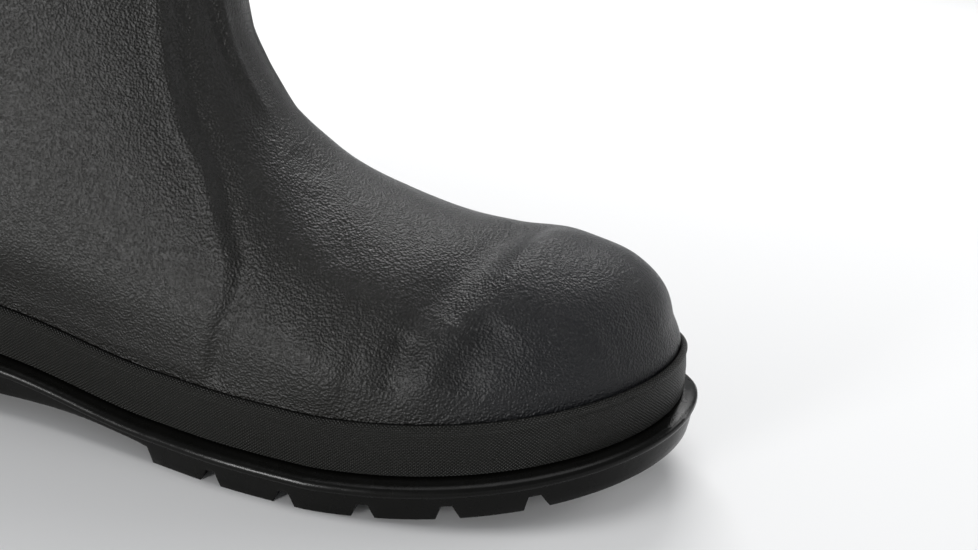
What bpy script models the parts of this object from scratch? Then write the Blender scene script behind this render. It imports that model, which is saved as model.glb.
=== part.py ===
"""Right boot of a pair of knee-high rubber safety boots with a steel toe.

The toe points along +X, the outer side of the foot along -Y, up is +Z.
The origin lies at the middle of the sole's outline, on the floor. Sizes are in metres.
"""
import math

import bmesh
import bpy
import numpy as np
from mathutils import Vector
from mathutils.bvhtree import BVHTree

# Sizes of the whole boot
LENGTH = 0.305
BALL_WIDTH = 0.116
HEEL_WIDTH = 0.082
INSTEP_HEIGHT = 0.098
BOOT_HEIGHT = 0.385
SHAFT_WIDTH = 0.118
SHAFT_DEPTH = 0.147
TOE_LEAN = 0.0053
WALL = 0.0028
CLEARANCE = 0.0003

# Sizes of the outsole
BALL_TO_TOE = 0.1043
HEEL_ROUND = 0.0425
TOE_POWER_LATERAL = 2.1
TOE_POWER_MEDIAL = 2.0
HEEL_POWER = 2.3
LIP_HEIGHT = 0.0107
PLATFORM_HEIGHT = 0.0119
LEDGE_WIDTH = 0.0046
SIDE_DRAFT = 0.0010
TOE_SPRING = 0.0166
SPRING_LENGTH = 0.1147
HEEL_RISE = 0.0090
HEEL_LENGTH = 0.0745
ARCH_HEIGHT = 0.0078
LUG_DEPTH = 0.0044
LUG_PITCH = 0.0238
LUG_REACH = 0.030
NOTCH_MOUTH = 0.0068
NOTCH_ROOF = 0.0032
MIDDLE_SHARE = 0.80
MIDDLE_OVERLAP = 0.0040
CUT_OVERSHOOT = 0.0060
TREAD_LENGTH = 0.1549
HEEL_BEVEL = 0.0016
HEEL_BEVEL_LENGTH = 0.0160
EDGE_ROUND = 0.0006

# Sizes of the band and the insole
BAND_HEIGHT = 0.0156
UPPER_INSET = 0.0076
BAND_RELEASE = 0.030
TOE_RELEASE = 0.0100
TOE_WALL_REACH = 0.92
BAND_REACH = 0.0060
INSOLE_THICKNESS = 0.0040
INSOLE_ROUND = 0.0010

# Raised parts of the upper's wall
OVERLAY_RELIEF = 0.0011
OVERLAY_TOP = 0.190
OVERLAY_SLOPE = 0.0050
SHIN_STRIP_WIDTH = 0.0215
SHIN_RELIEF = 0.0009
STEP_WIDTH = 0.0018
COLLAR_BEAD = 0.0016
COLLAR_BEAD_HEIGHT = 0.0070

# Soft dip behind the steel toe cap: place behind the toe and width as shares of
# LENGTH, heights as shares of INSTEP_HEIGHT, lean is forward run per drop
CAP_TROUGH = 0.0014
CAP_REAR = 0.205
CAP_TROUGH_WIDTH = 0.030
CAP_TOP = 0.72
CAP_LEAN = 0.45
CAP_TROUGH_FOOT = 0.35
CAP_TROUGH_FADE = 0.25

# Heights over which the shin strip rises out of the instep, as shares of INSTEP_HEIGHT
SHIN_START = 0.94
SHIN_FADE = 0.30

# Outline of the sole behind the ball: distance behind the toe as a share of
# LENGTH, and the distances to both sides as shares of BALL_WIDTH
OUTLINE = (
    # name, back, lateral, medial
    ("ball", 0.342, 0.500, 0.500),
    ("ball rear", 0.434, 0.472, 0.462),
    ("waist front", 0.533, 0.415, 0.385),
    ("waist", 0.648, 0.362, 0.322),
    ("heel breast", 0.762, 0.346, 0.326),
    ("heel", 0.861, 0.353, 0.353),
)

# Sections of the foot. Each runs from the top line down to the edge that the sole closes:
# back and up place its top, sole_back its foot, as shares of LENGTH and INSTEP_HEIGHT;
# widest is the share of its depth, swell is a share of BALL_WIDTH over the sole's edge
FOOT_SECTIONS = (
    # name, back, up, sole_back, widest, swell, round_top, round_low, rows
    ("toe tip", 0.0249, 0.278, 0.0249, 0.98, 0.000, 2.1, 2.0, 2),
    ("toe front", 0.0325, 0.470, 0.0325, 0.97, 0.001, 2.1, 2.0, 2),
    ("toe face", 0.0475, 0.610, 0.0475, 0.93, 0.003, 2.2, 2.0, 2),
    ("toe round", 0.0820, 0.693, 0.0820, 0.88, 0.006, 2.3, 2.0, 2),
    ("cap", 0.1270, 0.727, 0.1270, 0.82, 0.008, 2.3, 2.0, 2),
    ("cap crown", 0.1720, 0.744, 0.1720, 0.78, 0.009, 2.25, 2.0, 2),
    ("saddle", 0.2120, 0.729, 0.2120, 0.74, 0.008, 2.2, 2.0, 2),
    ("vamp", 0.2650, 0.743, 0.2680, 0.72, 0.007, 2.1, 2.0, 3),
    ("ball", 0.3300, 0.797, 0.3450, 0.70, 0.006, 2.05, 2.0, 2),
    ("ball rear", 0.3830, 0.870, 0.4150, 0.68, 0.008, 2.0, 2.0, 3),
    ("instep", 0.4210, 0.967, 0.4900, 0.66, 0.014, 2.0, 2.0, 3),
    ("instep rear", 0.4490, 1.071, 0.5850, 0.64, 0.027, 2.0, 2.0, 3),
    ("waist", 0.4700, 1.186, 0.6900, 0.62, 0.045, 2.05, 2.1, 2),
    ("heel front", 0.4830, 1.312, 0.8000, 0.60, 0.060, 2.1, 2.2, 2),
    ("heel", 0.4910, 1.444, 0.8990, 0.60, 0.062, 2.1, 2.3, 2),
    ("heel round", 0.4950, 1.546, 0.9500, 0.60, 0.060, 2.1, 2.3, 2),
    ("heel seat", 0.4980, 1.628, 0.9715, 0.60, 0.060, 2.1, 2.3, 2),
)

# Closed sections above the heel: heights as shares of BOOT_HEIGHT, front and rear
# as shares of SHAFT_DEPTH ahead of the heel line, width as a share of SHAFT_WIDTH
SHAFT_SECTIONS = (
    # name, front_up, rear_up, front, rear, widest, width, round_front, round_rear, rows
    ("counter low", 0.446, 0.120, 0.9835, -0.006, 0.60, 0.660, 2.1, 2.3, 1),
    ("counter", 0.464, 0.190, 0.9800, 0.006, 0.59, 0.672, 2.1, 2.3, 1),
    ("heel top", 0.488, 0.265, 0.9770, 0.048, 0.58, 0.700, 2.1, 2.25, 1),
    ("ankle", 0.522, 0.350, 0.9730, 0.075, 0.56, 0.742, 2.1, 2.2, 1),
    ("ankle top", 0.575, 0.460, 0.9690, 0.082, 0.54, 0.805, 2.1, 2.15, 1),
    ("shaft low", 0.650, 0.590, 0.9680, 0.070, 0.52, 0.880, 2.1, 2.1, 1),
    ("calf low", 0.750, 0.720, 0.9720, 0.045, 0.51, 0.945, 2.1, 2.1, 1),
    ("calf", 0.870, 0.855, 0.9800, 0.020, 0.50, 0.985, 2.1, 2.1, 1),
    ("collar", 1.000, 0.985, 0.9900, 0.004, 0.50, 1.000, 2.1, 2.1, 0),
)

# Front edge of the ankle overlay, seen from the side: up as a share of
# INSTEP_HEIGHT, ahead as a share of LENGTH in front of the origin
OVERLAY_EDGE = (
    # up, ahead
    (0.10, 0.026),
    (0.34, 0.034),
    (0.50, 0.047),
    (0.62, 0.055),
    (0.75, 0.050),
    (0.90, 0.036),
    (1.04, 0.018),
    (1.22, 0.000),
    (1.45, -0.018),
    (1.90, -0.050),
)

# Columns of the upper's mesh on each half: shin strip and side, and how closely
# the side's columns crowd towards the foot edge, in radians of a sine
STRIP_COLUMNS = 3
SIDE_COLUMNS = 16
SIDE_CROWDING = 1.15

# Profile of the band from its foot to its inner top edge: inset as a share of
# LEDGE_WIDTH, height as a share of BAND_HEIGHT
BAND_PROFILE = (
    # name, inset, up
    ("foot", 1.00, 0.00),
    ("middle", 1.07, 0.45),
    ("under the bead", 1.22, 0.75),
    ("bead", 1.18, 0.82),
    ("bead top", 1.30, 0.93),
    ("inner top", 1.50, 1.00),
)

# Rim of the outsole from the platform down to the lip: inset as a share of
# LEDGE_WIDTH, drop as a share of the platform's height over the lip
LIP_PROFILE = (
    # name, inset, drop
    ("platform edge", 1.07, 0.00),
    ("ledge", 0.55, 0.35),
    ("lip top", 0.13, 0.80),
    ("lip", 0.00, 1.50),
)

# Rows of the upper at its collar: distance below the top as a share of
# COLLAR_BEAD_HEIGHT, and share of COLLAR_BEAD that stands proud
COLLAR_ROWS = (
    # name, down, proud
    ("under the bead", 1.30, 0.00),
    ("bead foot", 1.00, 1.00),
    ("bead top", 0.35, 1.00),
    ("collar edge", 0.00, 0.45),
)

RUBBER_BLACK = (0.030, 0.030, 0.032, 1.0)
BAND_BLACK = (0.018, 0.018, 0.018, 1.0)
SOLE_BLACK = (0.014, 0.014, 0.014, 1.0)
INSOLE_GREY = (0.090, 0.088, 0.084, 1.0)

TOE_X = LENGTH / 2
HEEL_X = -LENGTH / 2
BALL_X = TOE_X - BALL_TO_TOE
ROUND_X = HEEL_X + HEEL_ROUND
TREAD_REAR_X = TOE_X - TREAD_LENGTH
BREAST_X = HEEL_X + HEEL_LENGTH


def smooth_curve(knots, values, at):
    """Cubic curve through the knots, with slopes taken from their neighbours."""
    knots = np.asarray(knots, float)
    values = np.asarray(values, float)
    steps = np.diff(knots)
    chords = np.diff(values) / steps
    slopes = np.empty_like(values)
    slopes[0] = chords[0]
    slopes[-1] = chords[-1]
    slopes[1:-1] = (chords[:-1] * steps[1:] + chords[1:] * steps[:-1]) / (steps[:-1] + steps[1:])
    at = np.clip(np.asarray(at, float), knots[0], knots[-1])
    i = np.clip(np.searchsorted(knots, at, side="right") - 1, 0, len(knots) - 2)
    h = steps[i]
    t = (at - knots[i]) / h
    return (
        values[i] * (1 + 2 * t) * (1 - t) ** 2
        + slopes[i] * h * t * (1 - t) ** 2
        + values[i + 1] * t * t * (3 - 2 * t)
        + slopes[i + 1] * h * t * t * (t - 1)
    )


def ease(t):
    """Smooth step from 0 to 1."""
    t = min(max(t, 0.0), 1.0)
    return t * t * (3 - 2 * t)


def toe_spring(x):
    """Lift of the forefoot over the floor."""
    reach = max(x - (TOE_X - SPRING_LENGTH), 0.0)
    return TOE_SPRING * (reach / SPRING_LENGTH) ** 2


def base_lift(x):
    """Lift of the sole's platform: toe spring in front, heel rise behind."""
    return toe_spring(x) + HEEL_RISE * ease((TREAD_REAR_X - x) / (TREAD_REAR_X - BREAST_X))


def platform(x):
    """Height of the sole's upper face."""
    return PLATFORM_HEIGHT + base_lift(x)


def side_of_sole(x, side, inset):
    """Y of the sole's outline at x; side is -1 for lateral and +1 for medial."""
    if x >= BALL_X:
        power = TOE_POWER_LATERAL if side < 0 else TOE_POWER_MEDIAL
        reach = min((x - BALL_X) / (BALL_TO_TOE - inset), 1.0)
        half = BALL_WIDTH / 2 - side * TOE_LEAN - inset
        return TOE_LEAN + side * half * (1 - reach ** power) ** (1 / power)
    column = 2 if side < 0 else 3
    backs = [row[1] * LENGTH for row in OUTLINE]
    halves = [row[column] * BALL_WIDTH for row in OUTLINE]
    halves[-1] = HEEL_WIDTH / 2
    backs[0] = BALL_TO_TOE
    backs[-1] = LENGTH - HEEL_ROUND
    if x > ROUND_X:
        return side * (float(smooth_curve(backs, halves, TOE_X - x)) - inset)
    reach = min((ROUND_X - x) / (HEEL_ROUND - inset), 1.0)
    return side * (HEEL_WIDTH / 2 - inset) * (1 - reach ** HEEL_POWER) ** (1 / HEEL_POWER)


def outline_stations(toe_steps, waist_xs, heel_steps):
    """Stations along one side, from the toe tip to the heel's back."""
    stations = [("toe", math.pi / 2 * (1 - i / toe_steps)) for i in range(toe_steps)]
    stations += [("waist", x) for x in waist_xs]
    stations += [("heel", math.pi / 2 * i / heel_steps) for i in range(heel_steps + 1)]
    return stations


def station_x(station, inset):
    """X of a station on the outline that lies inset from the sole's edge."""
    part, value = station
    if part == "toe":
        return BALL_X + (BALL_TO_TOE - inset) * math.sin(value)
    if part == "heel":
        return ROUND_X - (HEEL_ROUND - inset) * math.sin(value)
    return value


def outline_sides(stations, inset):
    """Points of both sides of the outline; the toe tip and the heel's back are shared."""
    lateral = []
    medial = []
    for station in stations:
        x = station_x(station, inset)
        lateral.append((x, side_of_sole(x, -1, inset)))
        medial.append((x, side_of_sole(x, 1, inset)))
    return lateral, medial


def closed_outline(stations, inset):
    """The outline as one closed loop: lateral side to the heel, medial side back to the toe."""
    lateral, medial = outline_sides(stations, inset)
    return lateral + medial[-2:0:-1]


def rubber(name, colour, roughness):
    """Plain material of one piece."""
    material = bpy.data.materials.new(name)
    material.use_nodes = True
    shader = material.node_tree.nodes["Principled BSDF"]
    shader.inputs["Base Color"].default_value = colour
    shader.inputs["Roughness"].default_value = roughness
    shader.inputs["Metallic"].default_value = 0.0
    return material


def finish_piece(name, bm, material, sharp_angle=math.radians(35)):
    """Turn a bmesh into the named object, smooth apart from its sharp edges."""
    bmesh.ops.recalc_face_normals(bm, faces=bm.faces)
    mesh = bpy.data.meshes.new(name)
    bm.to_mesh(mesh)
    bm.free()
    mesh.materials.append(material)
    mesh.shade_smooth()
    mesh.set_sharp_from_angle(angle=sharp_angle)
    piece = bpy.data.objects.new(name, mesh)
    bpy.context.collection.objects.link(piece)
    return piece


def upper_rows():
    """Rows of the upper: top point, foot point, widths and roundness of each section."""
    heel_line = HEEL_X + UPPER_INSET
    knots = []
    for name, back, up, sole_back, widest, swell, round_top, round_low, steps in FOOT_SECTIONS:
        top_x = TOE_X - back * LENGTH
        foot_x = TOE_X - sole_back * LENGTH
        knots.append((top_x, up * INSTEP_HEIGHT, foot_x, 0.0, widest, swell * BALL_WIDTH,
                      swell * BALL_WIDTH, round_top, round_low))
    last_foot = len(knots) - 1
    knots[0] = (TOE_X - UPPER_INSET, platform(TOE_X - UPPER_INSET) + CLEARANCE,
                TOE_X - UPPER_INSET) + knots[0][3:]
    knots[last_foot] = knots[last_foot][:2] + (heel_line,) + knots[last_foot][3:]
    for section in SHAFT_SECTIONS:
        name, front_up, rear_up, front, rear, widest, width, round_front, round_rear, steps = section
        top_x = heel_line + front * SHAFT_DEPTH
        rear_x = heel_line + rear * SHAFT_DEPTH
        wide_x = top_x + (rear_x - top_x) * widest
        half = width * SHAFT_WIDTH / 2
        lateral = half + side_of_sole(wide_x, -1, UPPER_INSET)
        medial = half - side_of_sole(wide_x, 1, UPPER_INSET)
        knots.append((top_x, front_up * BOOT_HEIGHT, rear_x, rear_up * BOOT_HEIGHT, widest,
                      lateral, medial, round_front, round_rear))
    knots[last_foot] = knots[last_foot][:3] + (platform(heel_line) + CLEARANCE,) + knots[last_foot][4:]
    order = np.arange(len(knots))
    table = np.array(knots)
    places = []
    for i, section in enumerate(FOOT_SECTIONS + SHAFT_SECTIONS):
        places += [i + part / section[-1] for part in range(section[-1])]
    bead_share = COLLAR_BEAD_HEIGHT / (table[-1, 1] - table[-2, 1])
    places += [len(knots) - 1 - down * bead_share for name, down, proud in COLLAR_ROWS]
    rows = []
    for place in places:
        row = [float(smooth_curve(order, table[:, column], place)) for column in range(table.shape[1])]
        if place < last_foot:
            row[3] = platform(row[2]) + CLEARANCE
        rows.append((place, place <= last_foot, row))
    return rows


def half_section(row, side, on_foot):
    """Dense points of one half of a section, from the top line to its foot."""
    top_x, top_z, foot_x, foot_z, widest, lateral, medial, round_top, round_low = row
    centre = (side_of_sole(top_x, -1, UPPER_INSET) + side_of_sole(top_x, 1, UPPER_INSET)) / 2
    centre = centre if top_x > BALL_X else 0.0
    depth = max(math.hypot(foot_x - top_x, foot_z - top_z), 0.00001)
    wide_x = top_x + (foot_x - top_x) * widest
    swell = lateral if side < 0 else medial
    foot_half = side * (side_of_sole(foot_x, side, UPPER_INSET) - centre) if on_foot else 0.0
    half = max(side * (side_of_sole(wide_x, side, UPPER_INSET) - centre) + swell, foot_half + 0.0001)
    wide = widest * depth
    share = (foot_half / half) ** round_low
    end = wide + (depth - wide) / (1 - share) ** (1 / round_low)
    points = []
    count = 60
    for i in range(count + 1):
        angle = math.pi / 2 * i / count
        down = wide * (1 - math.cos(angle) ** (2 / round_top))
        out = half * math.sin(angle) ** (2 / round_top)
        points.append((down, out))
    stop = math.asin(min((depth - wide) / (end - wide), 1.0) ** (round_low / 2))
    for i in range(1, count + 1):
        angle = stop * i / count
        down = wide + (end - wide) * math.sin(angle) ** (2 / round_low)
        out = half * max(math.cos(angle), 0.0) ** (2 / round_low)
        points.append((down, out))
    points[-1] = (depth, foot_half)
    points = np.array(points)
    shares = points[:, 0] / depth
    return np.stack([
        top_x + (foot_x - top_x) * shares,
        centre + side * points[:, 1],
        top_z + (foot_z - top_z) * shares,
    ], axis=1)


def hold_in_band(point):
    """Keep the wall on the sole's inset outline as high as the band, then let it swell."""
    x, y, z = point
    free = ease((z - platform(x) - BAND_HEIGHT) / BAND_RELEASE)
    if free == 1.0:
        return point
    side = -1 if y < 0 else 1
    if ROUND_X < x < BALL_X:
        edge = side_of_sole(x, side, UPPER_INSET)
        return np.array((x, edge + (y - edge) * free, z))
    if x >= BALL_X:
        middle = (BALL_X, TOE_LEAN)
        length = BALL_TO_TOE - UPPER_INSET
        half = BALL_WIDTH / 2 - side * TOE_LEAN - UPPER_INSET
        power = TOE_POWER_LATERAL if side < 0 else TOE_POWER_MEDIAL
    else:
        middle = (ROUND_X, 0.0)
        length = HEEL_ROUND - UPPER_INSET
        half = HEEL_WIDTH / 2 - UPPER_INSET
        power = HEEL_POWER
    along = abs(x - middle[0]) / length
    across = abs(y - middle[1]) / half
    reach = (along ** power + across ** power) ** (1 / power)
    if x >= BALL_X and reach < 1:
        free = ease((z - platform(x) - BAND_HEIGHT) / TOE_RELEASE)
        free = max(free, 1 - ease((reach - TOE_WALL_REACH) / (1 - TOE_WALL_REACH) * 2))
    scale = 1 / reach + (1 - 1 / reach) * free
    return np.array((middle[0] + (x - middle[0]) * scale, middle[1] + (y - middle[1]) * scale, z))


def overlay_edge_x(z):
    """X of the ankle overlay's front edge at height z."""
    ups = [up * INSTEP_HEIGHT for up, ahead in OVERLAY_EDGE]
    aheads = [ahead * LENGTH for up, ahead in OVERLAY_EDGE]
    return smooth_curve(ups, aheads, z)


def column_points(points):
    """Columns of one half section, with a close pair at the shin strip's edge."""
    lengths = np.concatenate([[0.0], np.cumsum(np.linalg.norm(np.diff(points, axis=0), axis=1))])
    total = lengths[-1]
    step = min(STEP_WIDTH, total * 0.03)
    strip = min(SHIN_STRIP_WIDTH / 2, total * 0.2)
    places = list(np.linspace(0.0, strip - step / 2, STRIP_COLUMNS))
    spread = np.sin(np.linspace(0.0, SIDE_CROWDING, SIDE_COLUMNS)) / math.sin(SIDE_CROWDING)
    places += list(strip + step / 2 + (total - strip - step / 2) * spread)
    return np.stack([np.interp(places, lengths, points[:, axis]) for axis in range(3)], axis=1)


def grid_normals(grid, closed_rows):
    """Outward normals of the upper's grid."""
    along = np.gradient(grid, axis=0)
    across = np.gradient(grid, axis=1)
    for i in range(len(grid)):
        if closed_rows[i]:
            across[i, 0] = across[i, -1] = (grid[i, 1] - grid[i, -2]) / 2
    normals = np.cross(across, along)
    lengths = np.linalg.norm(normals, axis=2, keepdims=True)
    normals = normals / np.maximum(lengths, 1e-12)
    if normals[len(grid) // 2, grid.shape[1] // 2, 0] < 0:
        normals = -normals
    normals[0] = (1.0, 0.0, 0.0)
    return normals


def cap_trough(x, z):
    """Soft dip in the vamp behind the steel toe cap's rear edge."""
    edge = TOE_X - CAP_REAR * LENGTH - CAP_LEAN * max(CAP_TOP * INSTEP_HEIGHT - z, 0.0)
    reach = (x - edge) / (CAP_TROUGH_WIDTH * LENGTH)
    fade = ease((z - CAP_TROUGH_FOOT * INSTEP_HEIGHT) / (CAP_TROUGH_FADE * INSTEP_HEIGHT))
    return CAP_TROUGH * math.exp(-reach * reach) * fade


def wall_relief(columns_from_centre, point):
    """Height of the raised parts over the upper's base surface."""
    x, y, z = point
    relief = 0.0
    if columns_from_centre < STRIP_COLUMNS:
        relief += SHIN_RELIEF * ease((z - SHIN_START * INSTEP_HEIGHT) / (SHIN_FADE * INSTEP_HEIGHT))
    behind = ease((overlay_edge_x(z) - x) / OVERLAY_SLOPE + 0.5)
    relief += OVERLAY_RELIEF * behind * ease((OVERLAY_TOP - z) / OVERLAY_SLOPE + 0.5)
    above_band = ease((z - platform(x) - BAND_HEIGHT) / OVERLAY_SLOPE)
    return above_band * (relief - cap_trough(x, z))


def build_upper(material):
    """The upper: one hollow wall from the toe to the collar, open at the collar and under the foot."""
    rows = upper_rows()
    closed = [not on_foot or place == len(FOOT_SECTIONS) - 1 for place, on_foot, row in rows]
    grid = []
    for place, on_foot, row in rows:
        lateral = column_points(half_section(row, -1, on_foot))
        medial = column_points(half_section(row, 1, on_foot))
        line = np.concatenate([lateral[::-1], medial[1:]])
        grid.append(np.array([hold_in_band(point) for point in line]))
    grid = np.array(grid)
    normals = grid_normals(grid, closed)
    centre = grid.shape[1] // 2
    bead_rows = {len(rows) - len(COLLAR_ROWS) + k: row[2] for k, row in enumerate(COLLAR_ROWS)}
    outer = grid.copy()
    inner = grid - normals * WALL
    for i, (place, on_foot, row) in enumerate(rows):
        for j in range(grid.shape[1]):
            relief = wall_relief(abs(j - centre), grid[i, j])
            relief += COLLAR_BEAD * bead_rows.get(i, 0.0)
            outer[i, j] += normals[i, j] * relief
        if on_foot and i > 0:
            for j in (0, grid.shape[1] - 1):
                flat = Vector((normals[i, j, 0], normals[i, j, 1], 0.0)).normalized()
                outer[i, j] = grid[i, j]
                inner[i, j] = grid[i, j] - np.array(flat) * WALL
    inner[0] = grid[0] - np.array((WALL, 0.0, 0.0))
    outer[0] = grid[0]
    bm = bmesh.new()
    skins = []
    for points in (outer, inner):
        verts = []
        for i in range(len(rows)):
            if i == 0:
                tip = bm.verts.new(points[0, 0])
                verts.append([tip] * grid.shape[1])
                continue
            line = [bm.verts.new(points[i, j]) for j in range(grid.shape[1] - 1)]
            line.append(line[0] if closed[i] else bm.verts.new(points[i, -1]))
            verts.append(line)
        skins.append(verts)
    for verts, flip in ((skins[0], False), (skins[1], True)):
        for i in range(len(rows) - 1):
            for j in range(grid.shape[1] - 1):
                corners = [verts[i][j], verts[i][j + 1], verts[i + 1][j + 1], verts[i + 1][j]]
                corners = list(dict.fromkeys(corners))
                bm.faces.new(corners[::-1] if flip else corners)
    for i in range(len(rows) - 1):
        if not rows[i + 1][1]:
            break
        for j in (0, -1):
            corners = [skins[0][i][j], skins[0][i + 1][j], skins[1][i + 1][j], skins[1][i][j]]
            bm.faces.new(list(dict.fromkeys(corners)))
    for j in range(grid.shape[1] - 1):
        bm.faces.new([skins[0][-1][j], skins[0][-1][j + 1], skins[1][-1][j + 1], skins[1][-1][j]])
    return finish_piece("upper", bm, material, math.radians(50))


def build_band(upper, material):
    """The textured band around the foot of the upper, set on the sole's platform."""
    waist_xs = list(np.linspace(BALL_X, ROUND_X, 15)[:-1])
    stations = outline_stations(16, waist_xs, 12)
    tree = BVHTree.FromPolygons([v.co.copy() for v in upper.data.vertices],
                                [tuple(p.vertices) for p in upper.data.polygons])
    profile = [(inset * LEDGE_WIDTH, up * BAND_HEIGHT) for name, inset, up in BAND_PROFILE]
    loops = [closed_outline(stations, inset) for inset, up in profile]
    count = len(loops[0])
    inner_heights = (profile[-1][1], 0.55 * BAND_HEIGHT, 0.0)
    bm = bmesh.new()
    rings = []
    for (inset, up), loop in zip(profile, loops):
        rings.append([bm.verts.new((x, y, platform(x) + CLEARANCE + up)) for x, y in loop])
    for up in inner_heights:
        ring = []
        for k in range(count):
            ahead = Vector(loops[0][(k + 1) % count])
            behind = Vector(loops[0][k - 1])
            along = (ahead - behind).normalized()
            inward = Vector((-along.y, along.x, 0.0))
            x, y = loops[0][k]
            middle = Vector((min(max(x, ROUND_X), BALL_X), 0.0, 0.0))
            if inward.dot(middle - Vector((x, y, 0.0))) < 0:
                inward = -inward
            depth = BAND_REACH
            for share in (-0.5, -0.25, 0.0, 0.25, 0.5):
                away = (ahead if share > 0 else behind) - Vector((x, y))
                near = Vector((x, y)) + away * abs(share)
                height = platform(near.x) + 2 * CLEARANCE + up
                hit = tree.ray_cast(Vector((near.x, near.y, height)), inward)[3]
                depth = min(depth, hit if hit else BAND_REACH)
            place = Vector((x, y, 0.0)) + inward * (depth - CLEARANCE)
            ring.append(bm.verts.new((place.x, place.y, platform(place.x) + CLEARANCE + up)))
        rings.append(ring)
    for lower, higher in zip(rings, rings[1:] + rings[:1]):
        for k in range(count):
            after = (k + 1) % count
            bm.faces.new([lower[k], lower[after], higher[after], higher[k]])
    return finish_piece("foxing_band", bm, material)


def tread_height(x):
    """Height of the underside: lugs on the floor, raised waist, heel block."""
    if x >= TREAD_REAR_X:
        return toe_spring(x)
    if x <= BREAST_X:
        reach = max((HEEL_X + HEEL_BEVEL_LENGTH - x) / HEEL_BEVEL_LENGTH, 0.0)
        return HEEL_BEVEL * reach * reach
    middle = (TREAD_REAR_X + BREAST_X) / 2
    half = (TREAD_REAR_X - BREAST_X) / 2
    share = (x - middle) / half
    return ARCH_HEIGHT - (ARCH_HEIGHT - LUG_DEPTH) * max(share, 0.0) ** 2


def bar(x, y0, y1, mouth, roof, depth):
    """Corner points of a trapezoid bar across the sole, which cuts one groove."""
    lift = toe_spring(x)
    slope = 2 * TOE_SPRING * max(x - (TOE_X - SPRING_LENGTH), 0.0) / SPRING_LENGTH ** 2
    flare = (mouth - roof) * CUT_OVERSHOOT / depth / 2
    corners = []
    for y in (y0, y1):
        for ahead, up in ((-mouth / 2 - flare, -CUT_OVERSHOOT), (mouth / 2 + flare, -CUT_OVERSHOOT),
                          (roof / 2, depth), (-roof / 2, depth)):
            corners.append((x + ahead - slope * up, y, lift + up + slope * ahead))
    return corners


def add_bar(bm, corners):
    """Close the eight corner points of a bar."""
    verts = [bm.verts.new(corner) for corner in corners]
    bm.faces.new(verts[0:4])
    bm.faces.new(verts[7:3:-1])
    for k in range(4):
        after = (k + 1) % 4
        bm.faces.new([verts[k], verts[k + 4], verts[after + 4], verts[after]])


def lug_notches():
    """X of the notches between the lugs, under the forefoot and under the heel."""
    forefoot = []
    x = TREAD_REAR_X + LUG_PITCH - NOTCH_MOUTH / 2
    while x < TOE_X - 1.2 * LUG_PITCH:
        forefoot.append(x)
        x += LUG_PITCH
    heel = []
    x = BREAST_X - LUG_PITCH + NOTCH_MOUTH / 2
    while x > HEEL_X + 0.9 * LUG_PITCH:
        heel.append(x)
        x -= LUG_PITCH
    return forefoot, heel


def edge_cutter():
    """Notches between the lugs along both edges of the sole."""
    bm = bmesh.new()
    forefoot, heel = lug_notches()
    for x in forefoot + heel:
        for side in (-1, 1):
            edge = side_of_sole(x, side, 0.0)
            add_bar(bm, bar(x, edge + side * CUT_OVERSHOOT, edge - side * LUG_REACH,
                            NOTCH_MOUTH, NOTCH_ROOF, LUG_DEPTH))
    return bm


def middle_cutter():
    """Grooves that part the middle bars, half a pitch ahead of the edge notches."""
    bm = bmesh.new()
    forefoot, heel = lug_notches()
    for x in [place - LUG_PITCH / 2 for place in forefoot] + [heel[-1] + LUG_PITCH / 2]:
        left = side_of_sole(x, -1, 0.0) + LUG_REACH - MIDDLE_OVERLAP
        right = side_of_sole(x, 1, 0.0) - LUG_REACH + MIDDLE_OVERLAP
        add_bar(bm, bar(x, left, right, NOTCH_MOUTH * MIDDLE_SHARE, NOTCH_ROOF * MIDDLE_SHARE,
                        LUG_DEPTH * MIDDLE_SHARE))
    return bm


def cutter_object(name, bm):
    """A hidden body that cuts the sole."""
    bmesh.ops.recalc_face_normals(bm, faces=bm.faces)
    mesh = bpy.data.meshes.new(name)
    bm.to_mesh(mesh)
    bm.free()
    cutter = bpy.data.objects.new(name, mesh)
    bpy.context.collection.objects.link(cutter)
    cutter.hide_render = True
    cutter.display_type = "WIRE"
    return cutter


def build_outsole(material):
    """The outsole: platform, lip, side wall and tread with lugs, arch and heel."""
    slope = LUG_DEPTH / 2
    waist_xs = list(np.linspace(BALL_X, TREAD_REAR_X, 4))
    waist_xs += list(np.linspace(TREAD_REAR_X - slope, BREAST_X + slope, 7))
    waist_xs += [BREAST_X, (BREAST_X + ROUND_X) / 2]
    stations = outline_stations(14, waist_xs, 9)
    rim = PLATFORM_HEIGHT - LIP_HEIGHT
    rings = [(inset * LEDGE_WIDTH, lambda x, share=share: platform(x) - rim * share)
             for name, inset, share in LIP_PROFILE]
    rings += [
        (SIDE_DRAFT / 2, lambda x: (platform(x) + tread_height(x)) / 2),
        (SIDE_DRAFT, lambda x: tread_height(x) + EDGE_ROUND),
        (SIDE_DRAFT + EDGE_ROUND, tread_height),
    ]
    bm = bmesh.new()
    loops = []
    for inset, height in rings:
        lateral, medial = outline_sides(stations, inset)
        low = [bm.verts.new((x, y, height(x))) for x, y in lateral]
        high = [bm.verts.new((x, y, height(x))) for x, y in medial[1:-1]]
        loops.append((low, [low[0]] + high + [low[-1]]))
    for (low_a, high_a), (low_b, high_b) in zip(loops, loops[1:]):
        for line_a, line_b in ((low_a, low_b), (high_a, high_b)):
            for k in range(len(line_a) - 1):
                bm.faces.new([line_a[k], line_b[k], line_b[k + 1], line_a[k + 1]])
    for low, high in (loops[0], loops[-1]):
        for k in range(len(low) - 1):
            bm.faces.new(list(dict.fromkeys([low[k], high[k], high[k + 1], low[k + 1]])))
    sole = finish_piece("outsole", bm, material)
    for name, cutter_mesh in (("edge_notches", edge_cutter()), ("middle_grooves", middle_cutter())):
        cut = sole.modifiers.new(name, "BOOLEAN")
        cut.operation = "DIFFERENCE"
        cut.solver = "EXACT"
        cut.object = cutter_object(name, cutter_mesh)
    return sole


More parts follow.
